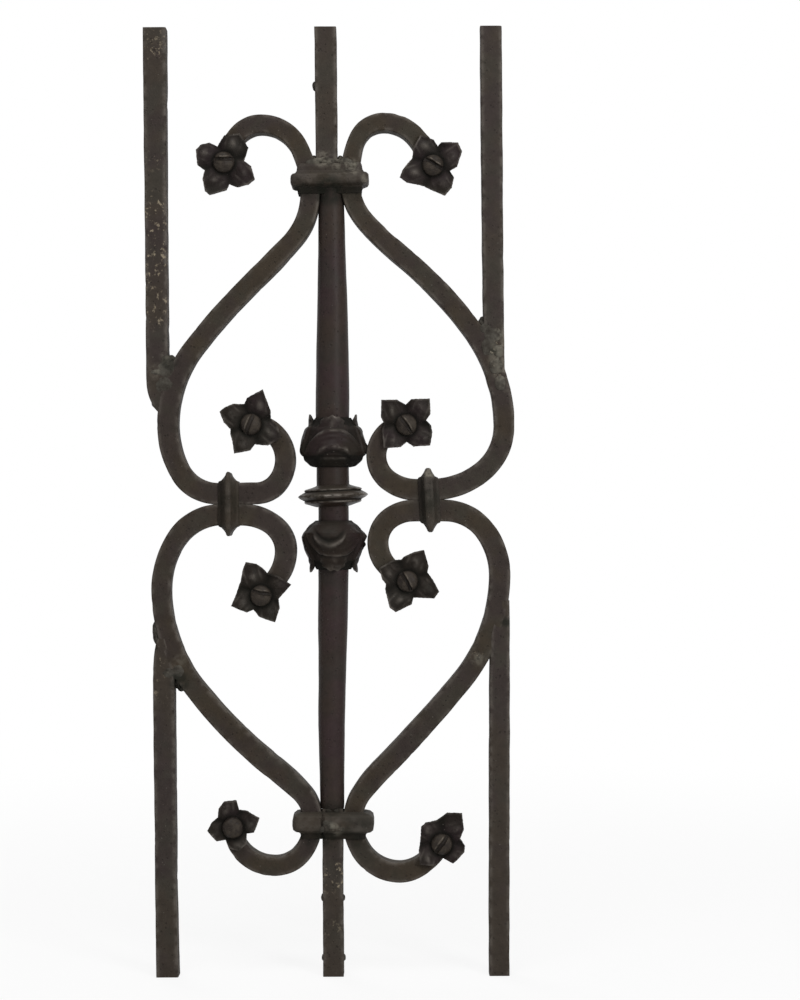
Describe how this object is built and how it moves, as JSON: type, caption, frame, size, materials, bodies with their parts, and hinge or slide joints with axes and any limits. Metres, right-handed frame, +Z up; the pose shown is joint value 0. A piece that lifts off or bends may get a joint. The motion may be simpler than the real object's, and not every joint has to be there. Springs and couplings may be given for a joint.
{
  "type": "wrought iron grille panel",
  "caption": "Wrought iron grille panel: square bars, hand-forged heart scrolls, leafy baluster, moulded collars and screwed rosettes.",
  "frame": {"origin": "centre of the centre bar's bottom end face, which the panel is fixed by", "axes": "+Z up along the bars, X across the panel, -Y towards the front with the rosettes"},
  "size_m": [0.2228, 0.0424, 0.5723],
  "materials": {
    "bar_iron": "dark brown-black, worn, with flecks of old cream paint",
    "scroll_iron": "dark brown-black hammered iron, worn",
    "baluster_iron": "dark, smoother and slightly polished by hand",
    "knop_iron": "dark iron leaves with worn edges",
    "collar_iron": "dark iron with old caulk and weld along its edges",
    "rosette_iron": "dark pressed sheet",
    "screw_steel": "brown rusted steel"
  },
  "bodies": {
    "root": {"centre_bar_upper": "bar_iron", "centre_bar_lower": "bar_iron", "bar_upper_left": "bar_iron", "bar_upper_right": "bar_iron", "bar_lower_left": "bar_iron", "bar_lower_right": "bar_iron", "scroll_upper_left": "scroll_iron", "scroll_upper_right": "scroll_iron", "scroll_lower_left": "scroll_iron", "scroll_lower_right": "scroll_iron", "baluster_stem": "baluster_iron", "baluster_disc": "baluster_iron", "knop_upper": "knop_iron", "knop_lower": "knop_iron", "collar_top": "collar_iron", "collar_bottom": "collar_iron", "collar_left": "collar_iron", "collar_right": "collar_iron", "rosette_hook_upper_left": "rosette_iron", "rosette_curl_upper_left": "rosette_iron", "rosette_hook_upper_right": "rosette_iron", "rosette_curl_upper_right": "rosette_iron", "rosette_hook_lower_left": "rosette_iron", "rosette_curl_lower_left": "rosette_iron", "rosette_hook_lower_right": "rosette_iron", "rosette_curl_lower_right": "rosette_iron", "screw_hook_upper_left": "screw_steel", "screw_curl_upper_left": "screw_steel", "screw_hook_upper_right": "screw_steel", "screw_curl_upper_right": "screw_steel", "screw_hook_lower_left": "screw_steel", "screw_curl_lower_left": "screw_steel", "screw_hook_lower_right": "screw_steel", "screw_curl_lower_right": "screw_steel"}
  },
  "joints": []
}
